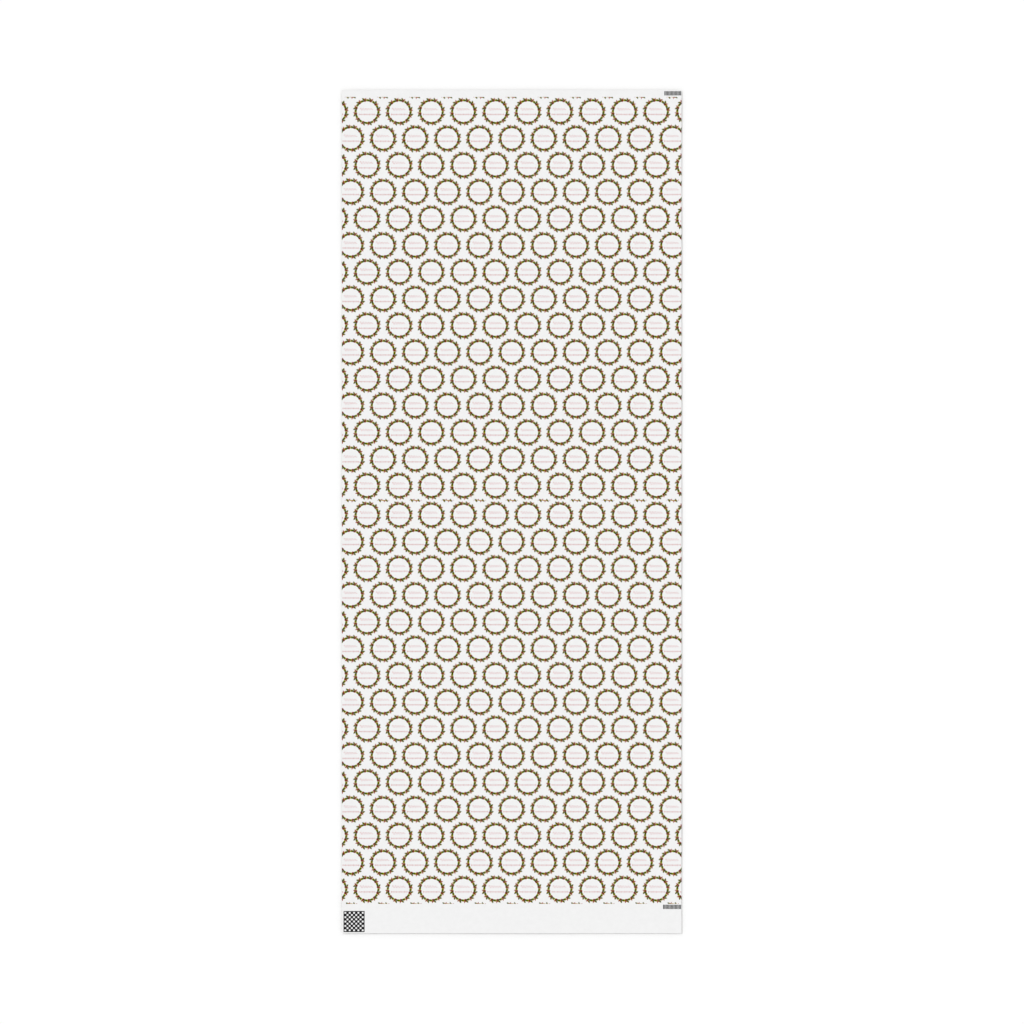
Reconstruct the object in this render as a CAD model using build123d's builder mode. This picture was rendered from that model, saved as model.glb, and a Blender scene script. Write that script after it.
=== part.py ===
from build123d import *
import os
from math import ceil

os.makedirs("parts", exist_ok=True)

# A cut sheet of gift wrap, lying flat with its printed face up. Millimetres.
# X runs across the web, +Y towards the head of the sheet, +Z out of the printed face.
# The origin is at the middle of the underside.

# The cut sheet and its layers
sheet_width = 736.6
sheet_length = 1828.8
base_thickness = 0.10
coating_thickness = 0.012
ink_thickness = 0.006

# The bare strips at the head and tail, and one turn of the printing cylinder between them
head_strip = 14.9
tail_strip = 63.9
repeat_length = 875.0

# Wreaths stand in staggered rows, cut off at the edges of the sheet and of each repeat
wreath_pitch = 69.76
row_pitch = 57.97
wreath_outer_radius = 29.5
wreath_inner_radius = 21.5

# A comb of register bars at the right edge, in the head strip and in the tail strip
comb_bar_width = 2.0
comb_bar_pitch = 2.85
comb_height = 9.4
comb_edge_margin = 0.9
head_comb_bars = 13
head_comb_margin = 2.3
tail_comb_bars = 14
tail_comb_margin = 2.0

# A solid test patch in the tail strip's left corner, with square windows on every second cell
patch_size = 45.6
patch_border = 1.6
patch_web = 0.9
patch_rows = 5
patch_edge_margin = 3.6
patch_tail_margin = 2.8

# Places that follow from these
head_edge = sheet_length / 2
tail_edge = -sheet_length / 2
right_edge = sheet_width / 2
print_end = tail_edge + tail_strip
rows_per_repeat = int(repeat_length // row_pitch)
first_row_inset = (repeat_length - (rows_per_repeat - 1) * row_pitch) / 2
head_comb_length = (head_comb_bars - 1) * comb_bar_pitch + comb_bar_width
head_comb_x = right_edge - comb_edge_margin - head_comb_length / 2
tail_comb_length = (tail_comb_bars - 1) * comb_bar_pitch + comb_bar_width
tail_comb_x = right_edge - comb_edge_margin - tail_comb_length / 2
patch_cell = (patch_size - 2 * patch_border) / (2 * patch_rows - 1)
patch_window = patch_cell - patch_web
patch_x = -right_edge + patch_edge_margin + patch_size / 2
patch_y = tail_edge + patch_tail_margin + patch_size / 2

base_face = Plane.XY.offset(base_thickness)
coated_face = Plane.XY.offset(base_thickness + coating_thickness)

# A cut-off repeat that is shorter than one row is left unprinted.
repeat_count = ceil((head_edge - head_strip - print_end - row_pitch) / repeat_length)


def wreath_centres(top, bottom):
    """The centres of all the wreaths that reach into the repeat between top and bottom.
    Even rows are shifted by half a pitch, so that each wreath stands between two of the next row."""
    reach = right_edge + wreath_outer_radius
    columns = ceil(reach / wreath_pitch)
    centres = []
    for row in range(-1, rows_per_repeat + 1):
        y = top - first_row_inset - row * row_pitch
        shift = wreath_pitch / 2 if row % 2 == 0 else 0
        for column in range(-columns, columns + 1):
            x = column * wreath_pitch + shift
            if abs(x) < reach and y > bottom - wreath_outer_radius:
                centres.append((x, y))
    return centres


# The uncoated body of the paper, whose underside is the plain back of the wrap
with BuildPart() as base_paper:
    with BuildSketch(Plane.XY):
        Rectangle(sheet_width, sheet_length)
    extrude(amount=base_thickness)
base_paper.part.label = "base_paper"
export_step(base_paper.part, "parts/base_paper.step")

# The satin coating, which covers the whole face and takes the ink
with BuildPart() as satin_coating:
    with BuildSketch(base_face):
        Rectangle(sheet_width, sheet_length)
    extrude(amount=coating_thickness)
satin_coating.part.label = "satin_coating"
export_step(satin_coating.part, "parts/satin_coating.step")

# Each repeat is printed from an endless field of wreaths, cropped to the repeat and the sheet.
for repeat in range(repeat_count):
    repeat_top = head_edge - head_strip - repeat * repeat_length
    repeat_bottom = max(repeat_top - repeat_length, print_end)
    printed_length = repeat_top - repeat_bottom
    printed_middle = (0, (repeat_top + repeat_bottom) / 2)
    centres = wreath_centres(repeat_top, repeat_bottom)

    # The ring of ink that a wreath's leaves and berries lie in
    with BuildPart() as wreath_print:
        with BuildSketch(coated_face):
            with Locations(*centres):
                Circle(wreath_outer_radius)
            with Locations(*centres):
                Circle(wreath_inner_radius, mode=Mode.SUBTRACT)
            with Locations(printed_middle):
                Rectangle(sheet_width, printed_length, mode=Mode.INTERSECT)
        extrude(amount=ink_thickness)
    wreath_print.part.label = f"wreath_print_{repeat + 1}"
    export_step(wreath_print.part, f"parts/{wreath_print.part.label}.step")

# The comb of register bars in the head strip
with BuildPart() as head_comb:
    with BuildSketch(coated_face):
        with Locations((head_comb_x, head_edge - head_comb_margin - comb_height / 2)):
            with GridLocations(comb_bar_pitch, 0, head_comb_bars, 1):
                Rectangle(comb_bar_width, comb_height)
    extrude(amount=ink_thickness)
head_comb.part.label = "head_comb"
export_step(head_comb.part, "parts/head_comb.step")

# A comb of the same bars just below the last repeat
with BuildPart() as tail_comb:
    with BuildSketch(coated_face):
        with Locations((tail_comb_x, print_end - tail_comb_margin - comb_height / 2)):
            with GridLocations(comb_bar_pitch, 0, tail_comb_bars, 1):
                Rectangle(comb_bar_width, comb_height)
    extrude(amount=ink_thickness)
tail_comb.part.label = "tail_comb"
export_step(tail_comb.part, "parts/tail_comb.step")

# The test patch: a bordered square whose windows keep a web of ink between their corners
with BuildPart() as test_patch:
    with BuildSketch(coated_face):
        with Locations((patch_x, patch_y)):
            Rectangle(patch_size, patch_size)
            with GridLocations(2 * patch_cell, 2 * patch_cell, patch_rows, patch_rows):
                Rectangle(patch_window, patch_window, mode=Mode.SUBTRACT)
            with GridLocations(2 * patch_cell, 2 * patch_cell, patch_rows - 1, patch_rows - 1):
                Rectangle(patch_window, patch_window, mode=Mode.SUBTRACT)
    extrude(amount=ink_thickness)
test_patch.part.label = "test_patch"
export_step(test_patch.part, "parts/test_patch.step")
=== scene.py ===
import math

import bpy
import numpy as np
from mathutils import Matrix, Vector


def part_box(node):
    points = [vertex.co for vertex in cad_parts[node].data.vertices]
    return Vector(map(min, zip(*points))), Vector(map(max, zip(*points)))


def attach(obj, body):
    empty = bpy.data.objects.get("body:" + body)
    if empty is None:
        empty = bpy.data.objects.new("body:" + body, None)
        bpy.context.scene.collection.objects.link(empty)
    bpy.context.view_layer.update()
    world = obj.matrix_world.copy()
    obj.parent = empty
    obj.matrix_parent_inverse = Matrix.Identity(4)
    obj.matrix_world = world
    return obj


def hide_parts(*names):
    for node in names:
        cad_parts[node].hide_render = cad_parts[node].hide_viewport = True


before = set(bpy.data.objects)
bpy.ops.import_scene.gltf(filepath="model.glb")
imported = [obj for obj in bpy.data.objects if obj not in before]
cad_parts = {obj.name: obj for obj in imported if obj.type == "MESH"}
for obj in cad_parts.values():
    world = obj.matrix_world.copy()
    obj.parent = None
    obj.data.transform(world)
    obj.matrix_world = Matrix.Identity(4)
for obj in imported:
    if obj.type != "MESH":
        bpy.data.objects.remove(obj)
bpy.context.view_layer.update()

# The camera looks straight down on the sheet, a hair off its middle, with the head at the top of the
# view. The sheet takes up most of the view's height, seen through a long lens, so that it looks flat.
paper_low, paper_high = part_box("base_paper")
paper_middle = (paper_low + paper_high) / 2
sheet_width = paper_high.x - paper_low.x
sheet_length = paper_high.y - paper_low.y
share_of_view = 0.8229
lens_mm = 85
aim_right = 0.00065
aim_down = 0.00065

camera = bpy.data.objects.new("camera", bpy.data.cameras.new("camera"))
bpy.context.scene.collection.objects.link(camera)
bpy.context.scene.camera = camera
camera.data.lens = lens_mm
half_view = camera.data.sensor_width / 2 / camera.data.lens
camera_height = sheet_length / share_of_view / 2 / half_view
camera.location = (paper_middle.x + aim_right, paper_middle.y - aim_down, camera_height)

# A white studio: even light from all round, and one soft lamp high over the sheet's head and left,
# which makes the thin shadow round the raised edges a little deeper towards the tail and the right.
studio_strength = 0.792
lamp_strength = 1.055
lamp_softness = math.radians(10)
lamp_tilt = math.radians(37)
lamp_side = math.radians(47)

bpy.context.scene.view_settings.view_transform = "Standard"
studio = bpy.data.worlds.new("white_studio")
studio.use_nodes = True
studio.node_tree.nodes["Background"].inputs["Color"].default_value = (1, 1, 1, 1)
studio.node_tree.nodes["Background"].inputs["Strength"].default_value = studio_strength
bpy.context.scene.world = studio
lamp = bpy.data.objects.new("soft_lamp", bpy.data.lights.new("soft_lamp", "SUN"))
lamp.data.energy = lamp_strength
lamp.data.angle = lamp_softness
lamp.rotation_euler = (-lamp_tilt, 0, lamp_side)
bpy.context.scene.collection.objects.link(lamp)

# The floor: a plain sweep painted matt white, wide enough to fill every view. It lies a hair below the
# sheet, so that the two never share a surface.
floor_half = 60.0
floor_gap = 0.0002


def linear_colour(hex_colour):
    """An sRGB hex colour as linear red, green, blue and alpha.
    A channel under 0.04045 is divided by 12.92; any other is raised to 2.4 after (c + 0.055) / 1.055."""
    channels = np.array([int(hex_colour[i : i + 2], 16) for i in (0, 2, 4)]) / 255
    linear = np.where(channels < 0.04045, channels / 12.92, ((channels + 0.055) / 1.055) ** 2.4)
    return (*linear.tolist(), 1.0)


def new_material(name):
    """An empty node material, its tree and its Principled shader, which is already the surface."""
    material = bpy.data.materials.new(name)
    material.use_nodes = True
    return material, material.node_tree, material.node_tree.nodes["Principled BSDF"]


def mesh_object(name, points, faces, maps, materials, material_of_face=None):
    """An object at the origin whose mesh has these points and faces, all with the same number of corners.
    Each map in maps gives one pair of coordinates for each point."""
    corners = faces.shape[1]
    mesh = bpy.data.meshes.new(name)
    mesh.vertices.add(len(points))
    mesh.vertices.foreach_set("co", points.astype(np.float32).ravel())
    mesh.loops.add(faces.size)
    mesh.loops.foreach_set("vertex_index", faces.astype(np.int32).ravel())
    mesh.polygons.add(len(faces))
    mesh.polygons.foreach_set("loop_start", np.arange(0, faces.size, corners, dtype=np.int32))
    for map_name, places in maps.items():
        layer = mesh.uv_layers.new(name=map_name)
        layer.uv.foreach_set("vector", places[faces.ravel()].astype(np.float32).ravel())
    for material in materials:
        mesh.materials.append(material)
    if material_of_face is not None:
        mesh.polygons.foreach_set("material_index", material_of_face.astype(np.int32))
    mesh.update(calc_edges=True)
    mesh.shade_smooth()
    piece = bpy.data.objects.new(name, mesh)
    bpy.context.scene.collection.objects.link(piece)
    return piece


floor_white, _, floor_shader = new_material("white_painted_floor")
floor_shader.inputs["Base Color"].default_value = linear_colour("fafafa")
floor_shader.inputs["Roughness"].default_value = 0.9
floor_shader.inputs["Specular IOR Level"].default_value = 0.1
floor_corners = np.array([[-1, -1, 0], [1, -1, 0], [1, 1, 0], [-1, 1, 0]]) * floor_half
floor_corners[:, 2] = paper_low.z - floor_gap
floor = mesh_object("floor", floor_corners, np.array([[0, 1, 2, 3]]), {}, [floor_white])

# The sheet: wood-fibre paper of 80 to 90 grams with a satin clay coating on its printed face, cut from
# a printed web. It was rolled up, so it lies almost flat, in long low waves with its edges just lifted.
grid_step = 0.0064
paper_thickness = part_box("satin_coating")[1].z - paper_low.z
roll_wave = 0.00045
roll_wavelength = 0.31
roll_bend = 0.9
roll_bend_wavelength = 1.3
cockle_wave = 0.0003
cockle_wavelength = 0.43
cockle_wavelength_along = 0.9
cockle_phase = 1.0
cockle_phase_along = 0.5
side_lift = 0.0027
side_reach = 0.070
head_lift = 0.0027
head_reach = 0.090
tail_lift = 0.0029
tail_reach = 0.110
corner_power = 6


def underside(x, y):
    """Height of the sheet's underside. Waves as long as the roll was round run along the sheet as a cosine,
    bent by a slow sine across it; a weaker product of a sine and a cosine is the paper's cockle. Each edge
    lifts by its own height, falling off with the exponential of the distance from it. Where two edges meet
    the higher lift leads: each is raised to the corner power, they are summed, and that root is taken."""
    across = 2 * np.pi * (x - paper_middle.x)
    along = 2 * np.pi * (y - paper_middle.y)
    bend = roll_bend * np.sin(across / roll_bend_wavelength)
    rolled = roll_wave * (1 + np.cos(along / roll_wavelength + bend))
    cockle_across = np.sin(across / cockle_wavelength + cockle_phase)
    cockle_along = np.cos(along / cockle_wavelength_along + cockle_phase_along)
    cockled = cockle_wave * (1 + cockle_across * cockle_along)
    from_side = sheet_width / 2 - np.abs(x - paper_middle.x)
    sides = side_lift * np.exp(-from_side / side_reach)
    head = head_lift * np.exp(-(paper_high.y - y) / head_reach)
    tail = tail_lift * np.exp(-(y - paper_low.y) / tail_reach)
    edges = (sides**corner_power + head**corner_power + tail**corner_power) ** (1 / corner_power)
    return paper_low.z + rolled + cockled + edges


def closed_sheet():
    """Points and four-sided faces of the sheet. Its face and its back are the same even grid, one paper
    thickness apart, and a wall of faces round the rim joins them. The coated face comes first, then the
    back and the rim. Also says which faces are the coated face."""
    columns = round(sheet_width / grid_step) + 1
    rows = round(sheet_length / grid_step) + 1
    x, y = np.meshgrid(
        np.linspace(paper_low.x, paper_high.x, columns), np.linspace(paper_low.y, paper_high.y, rows)
    )
    back = np.stack([x, y, underside(x, y)], 2).reshape(-1, 3)
    points = np.concatenate([back, back + [0, 0, paper_thickness]])
    number = np.arange(rows * columns).reshape(rows, columns)
    upward = np.stack([number[:-1, :-1], number[:-1, 1:], number[1:, 1:], number[1:, :-1]], 2).reshape(-1, 4)
    rim = np.concatenate([number[0, :-1], number[:-1, -1], number[-1, :0:-1], number[:0:-1, 0]])
    after = np.roll(rim, -1)
    above = rows * columns
    walls = np.stack([rim, after, after + above, rim + above], 1)
    faces = np.concatenate([upward + above, upward[:, ::-1], walls])
    return points, faces, np.arange(len(faces)) < len(upward)


def add_node(tree, kind, settings, links=()):
    """Adds a shader node. A setting's key is the name or number of an input socket, or else a property.
    Each link is an output socket and the name or number of the input that it feeds."""
    node = tree.nodes.new("ShaderNode" + kind)
    for key, value in settings.items():
        if isinstance(key, int) or key in node.inputs:
            node.inputs[key].default_value = value
        else:
            setattr(node, key, value)
    for output, key in links:
        tree.links.new(output, node.inputs[key])
    return node


# Clay-coated paper: bright and neutral, with a soft satin sheen, the faintest cloudiness of its fibres,
# about 9 mm across, and a fine tooth that is drawn at 1.2 mm, coarser than real, to show.
cloud_size = 0.009
tooth_size = 0.0012
tooth_depth = 0.0001
coated_face, tree, shader = new_material("satin_coated_paper")
place = add_node(tree, "TexCoord", {}).outputs["Object"]
clouds = add_node(tree, "TexNoise", {"Scale": 1 / cloud_size, "Detail": 3.0}, [(place, "Vector")])
cloud_colour = add_node(tree, "ValToRGB", {}, [(clouds.outputs["Fac"], "Fac")])
cloud_colour.color_ramp.elements[0].color = linear_colour("e9e9e9")
cloud_colour.color_ramp.elements[1].color = linear_colour("f0f0f0")
tree.links.new(cloud_colour.outputs["Color"], shader.inputs["Base Color"])
tooth = add_node(tree, "TexNoise", {"Scale": 1 / tooth_size, "Detail": 2.0}, [(place, "Vector")])
tooth_bump = add_node(
    tree, "Bump", {"Strength": 0.12, "Distance": tooth_depth}, [(tooth.outputs["Fac"], "Height")]
)
tree.links.new(tooth_bump.outputs["Normal"], shader.inputs["Normal"])
gloss = add_node(tree, "MapRange", {"To Min": 0.36, "To Max": 0.46}, [(clouds.outputs["Fac"], "Value")])
tree.links.new(gloss.outputs["Result"], shader.inputs["Roughness"])
shader.inputs["Specular IOR Level"].default_value = 0.3

# Uncoated paper, which the back and the cut edges show: a little warmer and quite matt, with loose fibres,
# drawn about 4 mm long as a noise stretched along the web. It is greyer than the face, partly as the paper's
# own tone and partly as painted shade: its grey is set darker so that the shadow round the lifted edges
# comes out deeper.
fibre_length = 0.004
fibre_width = 0.0008
fibre_depth = 0.0001
back_grey_and_painted_shade, tree, shader = new_material("uncoated_paper_with_painted_shade")
place = add_node(tree, "TexCoord", {}).outputs["Object"]
fibre_scale = (1 / fibre_width, 1 / fibre_length, 1 / fibre_width)
stretched = add_node(tree, "Mapping", {"Scale": fibre_scale}, [(place, "Vector")])
fibre_place = stretched.outputs["Vector"]
fibres = add_node(tree, "TexNoise", {"Scale": 1.0, "Detail": 4.0}, [(fibre_place, "Vector")])
fibre_and_shade_colour = add_node(tree, "ValToRGB", {}, [(fibres.outputs["Fac"], "Fac")])
# These greys are partly the paper's own tone and partly painted shade, set darker to deepen the shadow under
# the lifted rim.
fibre_and_shade_colour.color_ramp.elements[0].color = linear_colour("c6c4bd")
fibre_and_shade_colour.color_ramp.elements[1].color = linear_colour("d6d4ce")
tree.links.new(fibre_and_shade_colour.outputs["Color"], shader.inputs["Base Color"])
fibre_bump = add_node(
    tree, "Bump", {"Strength": 0.25, "Distance": fibre_depth}, [(fibres.outputs["Fac"], "Height")]
)
tree.links.new(fibre_bump.outputs["Normal"], shader.inputs["Normal"])
shader.inputs["Roughness"].default_value = 0.88

sheet_points, sheet_faces, is_face = closed_sheet()
paper_sheet = mesh_object(
    "paper_sheet", sheet_points, sheet_faces, {}, [coated_face, back_grey_and_painted_shade], np.where(is_face, 0, 1)
)

# The knife leaves crisp edges all round the rim, both on the face and on the back.
on_rim = np.zeros(len(sheet_points), bool)
on_rim[sheet_faces[2 * is_face.sum() :]] = True
edge_ends = np.empty(2 * len(paper_sheet.data.edges), np.int32)
paper_sheet.data.edges.foreach_get("vertices", edge_ends)
paper_sheet.data.edges.foreach_set("use_edge_sharp", on_rim[edge_ends].reshape(-1, 2).all(1))
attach(paper_sheet, "root")
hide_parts("base_paper", "satin_coating")

# The wreaths: films of flexographic ink on the coated face, one plate for each ink, in two repeats of
# the cylinder. They stand in staggered rows and are cut off at the edges of the sheet and of the repeat.
# Each wreath is a ring of twelve sprigs of holly.
wreath_pitch = 0.06976
row_pitch = 0.05797
rows_per_repeat = 15
ring_radius = 0.0241
sprigs = 12
first_sprig = math.radians(-19.3)
stamp_size = 0.064
blunt_base = 0.04
leaf_stretch = 0.93
berry_corners = 6
sprig_spread = 0.05
sprig_turn = 2.4
press_cloud = 0.0015

# Shapes, their lift over one another and the height of a layer of ink are given in millimetres.
millimetre = 0.001
shape_lift = 0.012


def leaf(base, tip, half_width, steps, spines=0.0, fullness=0.8):
    """A leaf on a grid of three lines, from one side over the midrib to the other, and some steps from base
    to tip. Its half width goes with a sine to the power of fullness, over a stretch of half a turn that is
    cut a little short at both ends, to make them blunt. A cosine that turns once in two steps, as strong as
    spines, scallops its sides. Gives points in millimetres, their places across and along the leaf, and
    triangles."""
    base, tip = np.array(base), np.array(tip)
    way = np.linspace(0, 1, steps + 1)
    bulge = np.sin(np.pi * (blunt_base + leaf_stretch * way)) ** fullness
    swell = bulge * (1 + spines * np.cos(np.pi * steps * way))
    side = np.array([-1.0, 0.0, 1.0])
    forward = tip - base
    sideways = np.array([forward[1], -forward[0]]) / np.hypot(*forward)
    points = (
        base
        + way[:, None, None] * forward
        + (half_width * swell)[:, None, None] * side[None, :, None] * sideways
    ).reshape(-1, 2)
    place = np.stack(np.meshgrid(side / 2 + 0.5, way), 2).reshape(-1, 2)
    number = np.arange(len(points)).reshape(steps + 1, 3)
    a, b, c, d = number[:-1, :-1], number[:-1, 1:], number[1:, 1:], number[1:, :-1]
    triangles = np.stack([a, b, c, a, c, d], 2).reshape(-1, 3)
    return points, place, triangles


def berry(middle, radius):
    """A berry: corners spaced evenly round a middle point. Its colour runs from the middle to the rim."""
    rim = np.arange(berry_corners)
    turn = 2 * np.pi * rim / berry_corners
    points = np.array(middle) + radius * np.vstack([[0, 0], np.stack([np.cos(turn), np.sin(turn)], 1)])
    place = np.vstack([[0.5, 0.0], np.tile([0.5, 1.0], (berry_corners, 1))])
    triangles = np.stack([np.zeros(berry_corners, int), rim + 1, (rim + 1) % berry_corners + 1], 1)
    return points, place, triangles


def wreath_of(shapes):
    """One wreath's share of one ink. Each shape of a sprig is given as distance along the ring, clockwise,
    and distance outward from it. The first becomes an angle, divided by the ring's radius and taken from the
    sprig's own angle, and the second is added to the radius. A sine of the sprig's number makes each a
    little larger or smaller, and each shape is lifted above the one before, to keep them apart. A row of
    values holds the place on the wreath, the place on the plate, the place on the leaf, and the lift."""
    around, faces, start = [], [], 0
    for shape_number, (points, place, triangles) in enumerate(shapes):
        for sprig in range(sprigs):
            size = 1 + sprig_spread * math.sin(sprig_turn * sprig + shape_number)
            angle = first_sprig - 2 * np.pi * sprig / sprigs - size * points[:, 0] * millimetre / ring_radius
            radius = ring_radius + size * points[:, 1] * millimetre
            plan = np.stack([radius * np.cos(angle), radius * np.sin(angle)], 1)
            lift = np.full((len(points), 1), shape_number * shape_lift * millimetre)
            around.append(np.hstack([plan, plan / stamp_size + 0.5, place, lift]))
            faces.append(triangles + start)
            start += len(points)
    return np.vstack(around), np.vstack(faces)


def wreath_middles(low, high):
    """The middles of all wreaths that reach into a repeat, from the row before its first to the one after
    its last. Every second row is shifted by half a pitch."""
    reach = sheet_width / 2 + stamp_size / 2
    columns = math.ceil(reach / wreath_pitch)
    first_inset = (high.y - low.y - (rows_per_repeat - 1) * row_pitch) / 2
    row, column = np.mgrid[-1 : rows_per_repeat + 1, -columns : columns + 1]
    x = (column + np.where(row % 2 == 0, 0.5, 0.0)) * wreath_pitch + (low.x + high.x) / 2
    y = high.y - first_inset - row * row_pitch
    middles = np.stack([x.ravel(), y.ravel()], 1)
    return middles[np.abs(middles[:, 0] - paper_middle.x) < reach]


def trim(values, faces, axis, limit, towards):
    """Cuts triangles along a straight line, as the edge of a plate or a knife does, and keeps those towards
    plus or minus. A triangle with one corner left keeps its tip, and one with two keeps a stump of two
    triangles. All the values of a new corner are in proportion along the side that was cut."""
    inside = (values[:, axis] - limit) * towards
    kept = (inside >= 0)[faces]
    count = kept.sum(1)
    parts, extra, total = [faces[count == 3]], [], len(values)
    for corners_left in (1, 2):
        cut = faces[count == corners_left]
        odd = (kept[count == corners_left] == (corners_left == 1)).argmax(1)
        a, b, c = np.take_along_axis(cut, (odd[:, None] + np.arange(3)) % 3, 1).T
        crossings = []
        for other in (b, c):
            share = (inside[a] / (inside[a] - inside[other]))[:, None]
            extra.append(values[a] + share * (values[other] - values[a]))
            crossings.append(total + np.arange(len(a)))
            total += len(a)
        on_b, on_c = crossings
        if corners_left == 1:
            parts.append(np.stack([a, on_b, on_c], 1))
        else:
            parts.append(np.stack([on_b, b, c], 1))
            parts.append(np.stack([on_b, c, on_c], 1))
    return np.vstack([values, *extra]), np.vstack(parts)


def print_ink(name, node, single, faces_of_one, material, layer):
    """Repeats one wreath's share of an ink over a repeat, trims it to the repeat and the sheet, and lays it
    on the paper at its layer's height in millimetres. The OFBake map is the place on the plate, so that all
    wreaths share one patch of it. The Leaf map is the place on the leaf."""
    low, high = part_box(node)
    middles = wreath_middles(low, high)
    values = np.tile(single, (len(middles), 1))
    values[:, :2] += np.repeat(middles, len(single), 0)
    starts = np.arange(len(middles)) * len(single)
    faces = (faces_of_one[None] + starts[:, None, None]).reshape(-1, 3)
    for axis in (0, 1):
        values, faces = trim(values, faces, axis, low[axis], 1)
        values, faces = trim(values, faces, axis, high[axis], -1)
    used, faces = np.unique(faces, return_inverse=True)
    values, faces = values[used], faces.reshape(-1, 3)
    height = underside(values[:, 0], values[:, 1]) + paper_thickness + layer * millimetre + values[:, 6]
    points = np.column_stack([values[:, :2], height])
    piece = mesh_object(name, points, faces, {"OFBake": values[:, 2:4], "Leaf": values[:, 4:6]}, [material])
    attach(piece, "root")
    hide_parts(node)
    return piece


def ink_material(name, base_hex, tip_hex, rib_hex, rib_width, mottle):
    """A film of printing ink, so thin that it hardly shines. Its colour runs from base to tip along each
    leaf, with a rib of another colour down the middle, and clouds about 1.5 mm across where the plate
    pressed unevenly."""
    material, tree, shader = new_material(name)
    leaf_place = add_node(tree, "UVMap", {"uv_map": "Leaf"}).outputs["UV"]
    plate_place = add_node(tree, "UVMap", {"uv_map": "OFBake"}).outputs["UV"]
    split = add_node(tree, "SeparateXYZ", {}, [(leaf_place, 0)])
    shade = add_node(
        tree, "Mix", {"data_type": "RGBA", 6: linear_colour(base_hex), 7: linear_colour(tip_hex)},
        [(split.outputs["Y"], 0)],
    )
    off_rib = add_node(tree, "Math", {"operation": "SUBTRACT", 1: 0.5}, [(split.outputs["X"], 0)])
    off_rib = add_node(tree, "Math", {"operation": "ABSOLUTE"}, [(off_rib.outputs[0], 0)])
    rib = add_node(
        tree, "MapRange", {"From Max": rib_width, "To Min": 1.0, "To Max": 0.0},
        [(off_rib.outputs[0], "Value")],
    )
    ribbed = add_node(
        tree, "Mix", {"data_type": "RGBA", 7: linear_colour(rib_hex)},
        [(rib.outputs["Result"], 0), (shade.outputs[2], 6)],
    )
    clouds = add_node(
        tree, "TexNoise", {"Scale": stamp_size / press_cloud, "Detail": 2.0}, [(plate_place, "Vector")]
    )
    pressed = add_node(
        tree, "MapRange", {"To Min": 1 - mottle, "To Max": 1 + mottle}, [(clouds.outputs["Fac"], "Value")]
    )
    tinted = add_node(
        tree, "Mix", {"data_type": "RGBA", "blend_type": "MULTIPLY", 0: 1.0},
        [(ribbed.outputs[2], 6), (pressed.outputs["Result"], 7)],
    )
    tree.links.new(tinted.outputs[2], shader.inputs["Base Color"])
    shader.inputs["Roughness"].default_value = 0.42
    shader.inputs["Specular IOR Level"].default_value = 0.06
    return material


# Light green ink, printed first: two smooth leaves of each sprig, which lie along the ring. They are the
# bright yellow-green that shows between the darker leaves.
light_green = ink_material("light_green_ink", "7a8a02", "a8b402", "a8b410", 0.05, 0.12)
light_leaves = wreath_of([
    leaf((-2.4, -0.6), (-10.8, 0.0), 1.75, 5),
    leaf((-0.4, 1.1), (-7.3, -1.7), 1.25, 5),
])

# Dark green ink, printed over the light green: two spiny holly leaves along the ring, and one that points
# outwards.
dark_green = ink_material("dark_green_ink", "344302", "4e5402", "6c7606", 0.05, 0.15)
dark_leaves = wreath_of([
    leaf((1.0, 0.0), (-7.7, -0.7), 1.25, 6, 0.1),
    leaf((-2.2, 0.4), (-9.4, 1.3), 1.55, 6, 0.1),
    leaf((-1.3, 0.5), (-3.6, 6.8), 1.45, 6, 0.16),
])

# Red ink, printed over the leaves: five petals of a bloom, the longest of them pointing outwards. They are
# almost black at the heart and crimson at the tip.
red = ink_material("red_ink", "300805", "b23a34", "440c08", 0.08, 0.12)
petals = wreath_of([
    leaf((2.2, -1.0), (-2.6, -1.8), 1.0, 3),
    leaf((2.4, 0.0), (-0.7, 4.3), 1.35, 4),
    leaf((-0.2, 1.7), (0.8, -2.8), 1.7, 4),
    leaf((-1.8, -0.4), (3.0, -1.3), 1.3, 3),
    leaf((0.3, -1.8), (2.9, 6.3), 1.15, 5),
])

# Ochre ink, printed last: two slim twigs out of each bloom, and the bloom's eye.
ochre = ink_material("ochre_ink", "6e5412", "dab206", "8a6a0e", 0.05, 0.1)
twigs = wreath_of([
    leaf((0.3, 2.7), (8.7, 2.6), 0.6, 5),
    leaf((0.1, 2.0), (-1.6, 5.7), 0.6, 3),
    berry((0.6, 0.5), 0.45),
])

# The four inks in the order of printing, each with the height of its layer in millimetres
wreath_inks = [
    ("light_leaves", light_leaves, light_green, 0.06),
    ("dark_leaves", dark_leaves, dark_green, 0.09),
    ("petals", petals, red, 0.13),
    ("twigs", twigs, ochre, 0.20),
]
for repeat in (1, 2):
    for ink_name, (single, faces_of_one), material, layer in wreath_inks:
        piece = print_ink(
            f"{ink_name}_{repeat}", f"wreath_print_{repeat}", single, faces_of_one, material, layer
        )

# The ornament: two lines of pale rose ink inside each wreath, a wavy line over a string of lozenges,
# printed straight on the coated face from a plate of their own. Lengths are in millimetres.
wave_length = 28.0
wave_middle = (-1.0, 5.2)
wave_height = 3.0
wave_taper = 0.45
wave_count = 5
string_length = 34.0
string_drop = -6.0
lozenges = 13
lozenge_size = (1.6, 4.9)
line_width = 0.55
string_width = 0.12
points_per_wave = 10
shorter_by = 0.3
line_lift = 0.01
ornament_layer = 0.06


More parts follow.
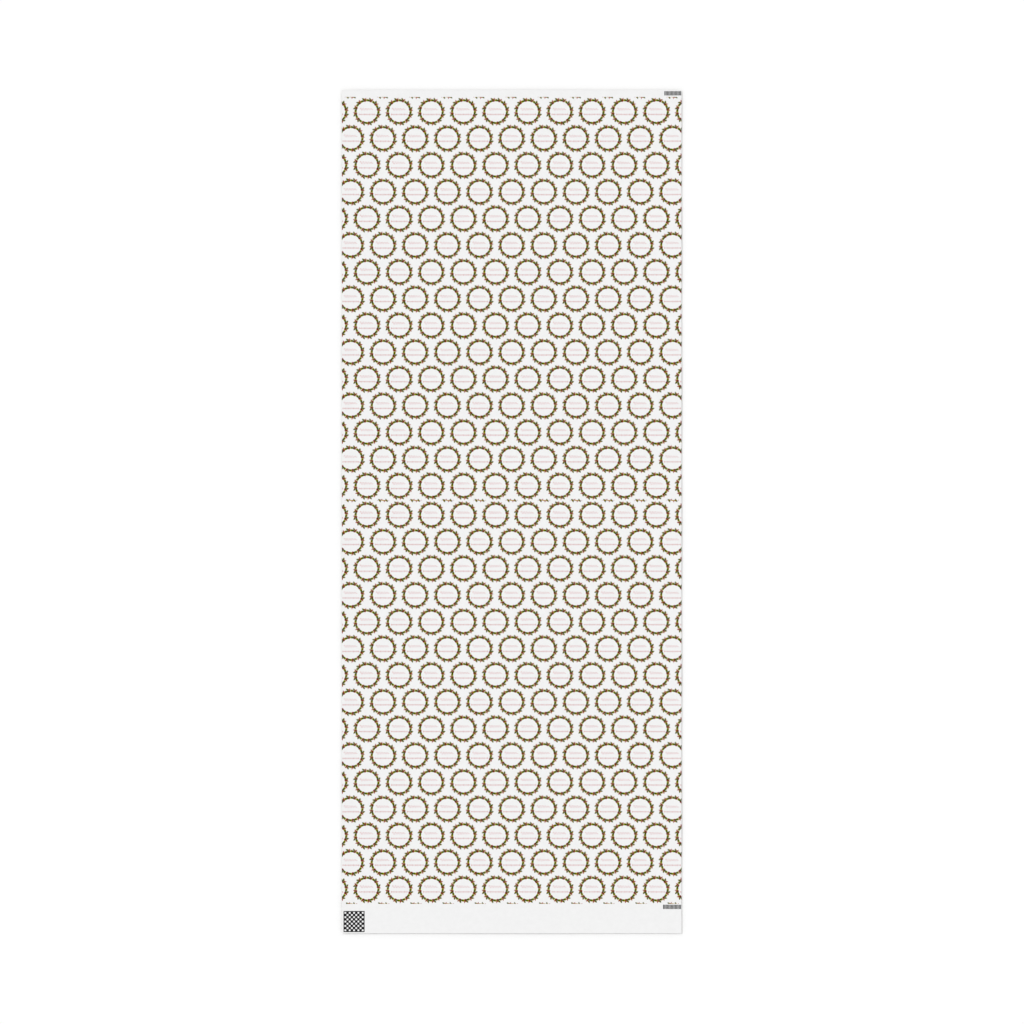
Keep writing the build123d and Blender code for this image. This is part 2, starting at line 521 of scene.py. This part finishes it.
def ribbon(line, width):
    """A line of that width along points in millimetres: two points beside each, square to its direction."""
    direction = np.gradient(line, axis=0)
    square = np.stack([-direction[:, 1], direction[:, 0]], 1) / np.hypot(*direction.T)[:, None]
    points = np.stack([line - square * width / 2, line + square * width / 2], 1).reshape(-1, 2)
    way = np.linspace(0, 1, len(line))
    place = np.stack([np.tile([0.0, 1.0], len(line)), np.repeat(way, 2)], 1)
    a = np.arange(0, 2 * len(line) - 2, 2)
    triangles = np.stack([a, a + 2, a + 3, a, a + 3, a + 1], 1).reshape(-1, 3)
    return points, place, triangles


def ornament():
    """The wavy line is a sine with a whole number of waves, whose height tapers evenly to its end. The
    lozenges stand evenly on a straight line, and every second one is smaller. The straight line is lifted
    above the wavy one, and the lozenges above both. A row of values holds the same as one of a wreath's."""
    way = np.linspace(0, 1, points_per_wave * wave_count + 1)
    height = wave_height * (1 - wave_taper * way) * np.sin(2 * np.pi * wave_count * way)
    wave = np.stack([(way - 0.5) * wave_length, height], 1) + wave_middle
    x = np.linspace(-string_length / 2, string_length / 2, lozenges)
    string = np.stack([x, np.full(lozenges, string_drop)], 1)
    shapes = [ribbon(wave, line_width), ribbon(string, string_width)]
    for lozenge_number, middle in enumerate(string):
        half = np.array(lozenge_size) / 2 * (1 - shorter_by * (lozenge_number % 2))
        corners = middle + half * np.array([[1, 0], [0, 1], [-1, 0], [0, -1]])
        shapes.append((corners, np.full((4, 2), 0.5), np.array([[0, 1, 2], [0, 2, 3]])))
    values, faces, start = [], [], 0
    for shape_number, (points, place, triangles) in enumerate(shapes):
        plan = points * millimetre
        lift = np.full((len(points), 1), line_lift * millimetre * min(shape_number, 2))
        values.append(np.hstack([plan, plan / stamp_size + 0.5, place, lift]))
        faces.append(triangles + start)
        start += len(points)
    return np.vstack(values), np.vstack(faces)


# Rose ink: the same thin, dull film. Its lines are so fine that they look pale from a step away.
rose = ink_material("rose_ink", "d08588", "d08588", "c97c80", 0.2, 0.06)
single, faces_of_one = ornament()
for repeat in (1, 2):
    piece = print_ink(
        f"ornament_{repeat}", f"wreath_print_{repeat}", single, faces_of_one, rose, ornament_layer
    )

# Register marks: two combs of bars at the right edge and a test patch in the tail's left corner, a square
# with windows on every second cell. They are black ink, by which the press keeps its plates in line.
mark_layer = 0.06
bar_pitch = 0.00285
bar_width = 0.0020
bar_steps = 4
patch_border = 0.0016
patch_web = 0.0009
patch_cells = 9


def grid_marks(x, y, inked):
    """Faces between the lines x and y of an uneven grid, wherever inked is true."""
    number = np.arange(len(x) * len(y)).reshape(len(y), len(x))
    faces = np.stack([number[:-1, :-1], number[:-1, 1:], number[1:, 1:], number[1:, :-1]], 2)[inked]
    across, up = np.meshgrid(x, y)
    return np.stack([across.ravel(), up.ravel()], 1), faces


def bars_of(low, high):
    """A comb: even bars between low and high, each cut into steps along its length."""
    bars = round((high.x - low.x - bar_width) / bar_pitch) + 1
    starts = low.x + np.arange(bars) * bar_pitch
    x = np.stack([starts, starts + bar_width], 1).ravel()
    inked = np.tile(np.arange(len(x) - 1) % 2 == 0, (bar_steps, 1))
    return grid_marks(x, np.linspace(low.y, high.y, bar_steps + 1), inked)


def patch_of(low, high):
    """A patch: a square with windows on every second cell, which a web of ink keeps apart."""
    lines = []
    for start, end in ((low.x, high.x), (low.y, high.y)):
        edges = np.linspace(start + patch_border, end - patch_border, patch_cells + 1)
        sides = np.stack([edges[:-1] + patch_web / 2, edges[1:] - patch_web / 2], 1).ravel()
        lines.append(np.concatenate([[start], sides, [end]]))
    row, column = np.mgrid[0 : 2 * patch_cells + 1, 0 : 2 * patch_cells + 1]
    window = (row % 2 == 1) & (column % 2 == 1) & ((row + column) // 2 % 2 == 1)
    return grid_marks(*lines, ~window)


# Black printing ink: as thin as the others, with the same clouds of uneven pressure.
black, tree, shader = new_material("black_ink")
place = add_node(tree, "TexCoord", {}).outputs["Object"]
clouds = add_node(tree, "TexNoise", {"Scale": 1 / press_cloud, "Detail": 2.0}, [(place, "Vector")])
pressed = add_node(tree, "ValToRGB", {}, [(clouds.outputs["Fac"], "Fac")])
pressed.color_ramp.elements[0].color = linear_colour("0e0e0f")
pressed.color_ramp.elements[1].color = linear_colour("202022")
tree.links.new(pressed.outputs["Color"], shader.inputs["Base Color"])
shader.inputs["Roughness"].default_value = 0.45
shader.inputs["Specular IOR Level"].default_value = 0.1

for node, shape in (("head_comb", bars_of), ("tail_comb", bars_of), ("test_patch", patch_of)):
    plan, faces = shape(*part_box(node))
    height = underside(plan[:, 0], plan[:, 1]) + paper_thickness + mark_layer * millimetre
    piece = mesh_object(node + "_ink", np.column_stack([plan, height]), faces, {}, [black])
    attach(piece, "root")
    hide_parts(node)
